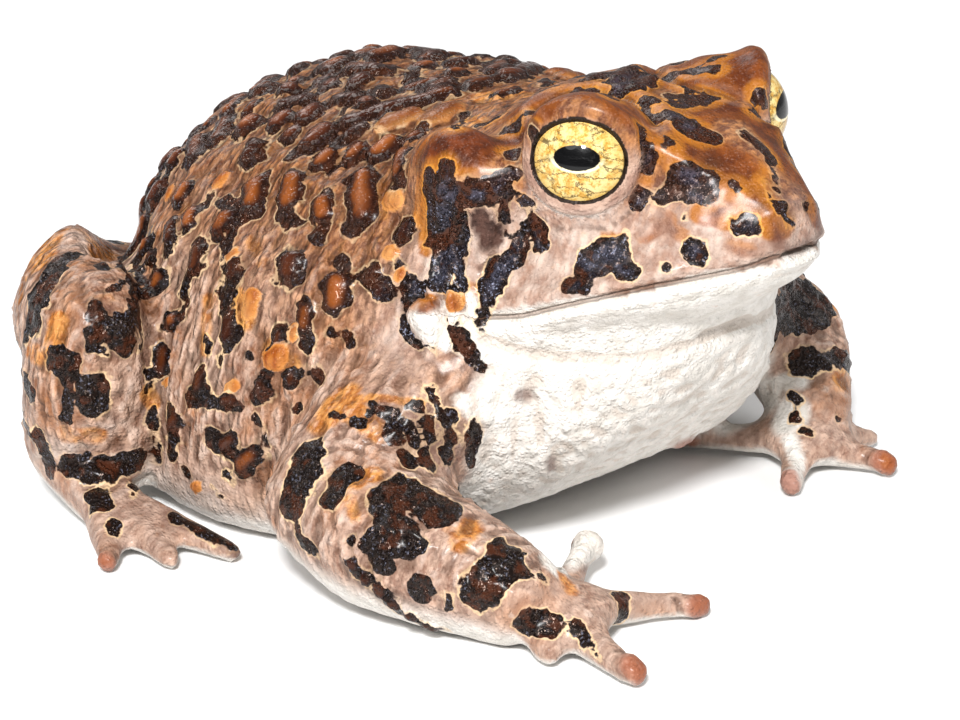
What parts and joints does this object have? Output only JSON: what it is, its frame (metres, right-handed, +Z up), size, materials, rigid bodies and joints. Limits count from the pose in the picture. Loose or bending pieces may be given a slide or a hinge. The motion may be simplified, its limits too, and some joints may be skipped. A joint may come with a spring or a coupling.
{
  "type": "yosemite toad",
  "caption": "Life-size still model of a Yosemite toad, sitting raised on its forelegs with folded hind legs, warty and blotched.",
  "frame": {"origin": "on the floor under the middle of the animal's bounding box", "axes": "+X towards the snout, +Y to the toad's left, +Z up"},
  "size_m": [0.0704, 0.0714, 0.0377],
  "materials": {
    "skin": "moist warty toad skin, tan with black blotches and orange glands",
    "pale_skin": "smooth creamy throat skin",
    "eye": "wet domed eye with a gold iris"
  },
  "bodies": {
    "root": {"torso": "skin", "head": "skin", "lower_jaw": "pale_skin", "eye_right": "eye", "eye_left": "eye", "upper_arm_right": "skin", "forearm_right": "skin", "hand_right": "skin", "thigh_right": "skin", "shank_right": "skin", "foot_right": "skin", "upper_arm_left": "skin", "forearm_left": "skin", "hand_left": "skin", "thigh_left": "skin", "shank_left": "skin", "foot_left": "skin"}
  },
  "joints": []
}
